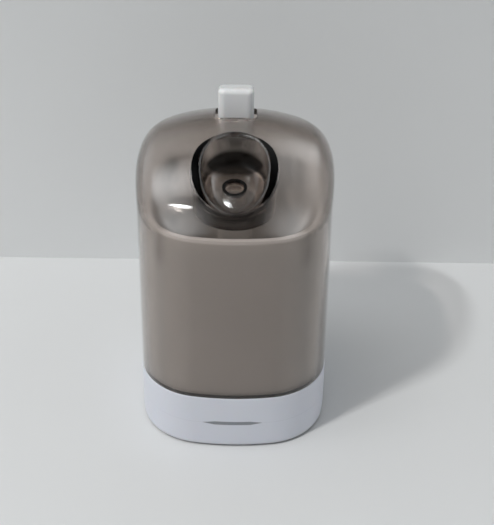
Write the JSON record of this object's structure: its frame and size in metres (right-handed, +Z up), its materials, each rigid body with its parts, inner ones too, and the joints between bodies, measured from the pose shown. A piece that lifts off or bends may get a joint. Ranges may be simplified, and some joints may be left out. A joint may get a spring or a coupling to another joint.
{
  "type": "toothpick dispenser",
  "caption": "Push-button toothpick dispenser: lift-off smoked cover with a finger dish, standing hopper, and a rocker in the base that raises one pick.",
  "frame": {"origin": "middle of the footprint, on the surface that the feet stand on", "axes": "+Z up, the finger dish and the low side of the roof face -Y, +X to the right from the front"},
  "size_m": [0.069, 0.069, 0.1217],
  "materials": {
    "smoked_plastic": "clear smoked plastic, polished",
    "base_plastic": "white, satin",
    "button_plastic": "white, satin",
    "hopper_plastic": "off-white",
    "moving_plastic": "natural",
    "steel": "bright zinc",
    "foot_rubber": "matt"
  },
  "bodies": {
    "base": {"base_shell": "base_plastic", "hopper": "hopper_plastic", "rubber_feet": "foot_rubber", "bottom_plate": "base_plastic", "bottom_screws": "steel", "hopper_screws": "steel", "stem_tower": "hopper_plastic", "tower_cap": "hopper_plastic", "tower_screws": "steel", "return_spring": "steel", "spring_washer": "steel", "pivot_pin": "steel", "pivot_clips": "steel", "lifter_bush": "moving_plastic"},
    "cover": {"cover": "smoked_plastic"},
    "button": {"push_button": "button_plastic", "button_stem": "moving_plastic", "stem_cross_pin": "steel"},
    "rocker": {"rocker_lever": "moving_plastic"},
    "lifter": {"lifter_rod": "moving_plastic", "lifter_cross_pin": "steel"}
  },
  "joints": [
    {"name": "cover_lift", "type": "slide", "parent": "base", "child": "cover", "axis": [0, 0, 1], "range_m": [0, 0.12]},
    {"name": "button_press", "type": "slide", "parent": "base", "child": "button", "axis": [0, 0, -1], "range_m": [0, 0.00872], "stiffness_N_per_m": 150, "springref_m": -0.008, "deforming": ["return_spring"]},
    {"name": "rocker_turn", "type": "hinge", "parent": "base", "child": "rocker", "pos_m": [0, 0.0049, 0.01245], "axis": [-1, 0, 0], "range_deg": [0, 44.91]},
    {"name": "lifter_lift", "type": "slide", "parent": "base", "child": "lifter", "axis": [0, 0, 1], "range_m": [0, 0.0143]}
  ],
  "couplings": [
    {"joint": "rocker_turn", "follows": "button_press", "rad_per_m": 89.883},
    {"joint": "lifter_lift", "follows": "button_press", "ratio": 1.6398}
  ]
}
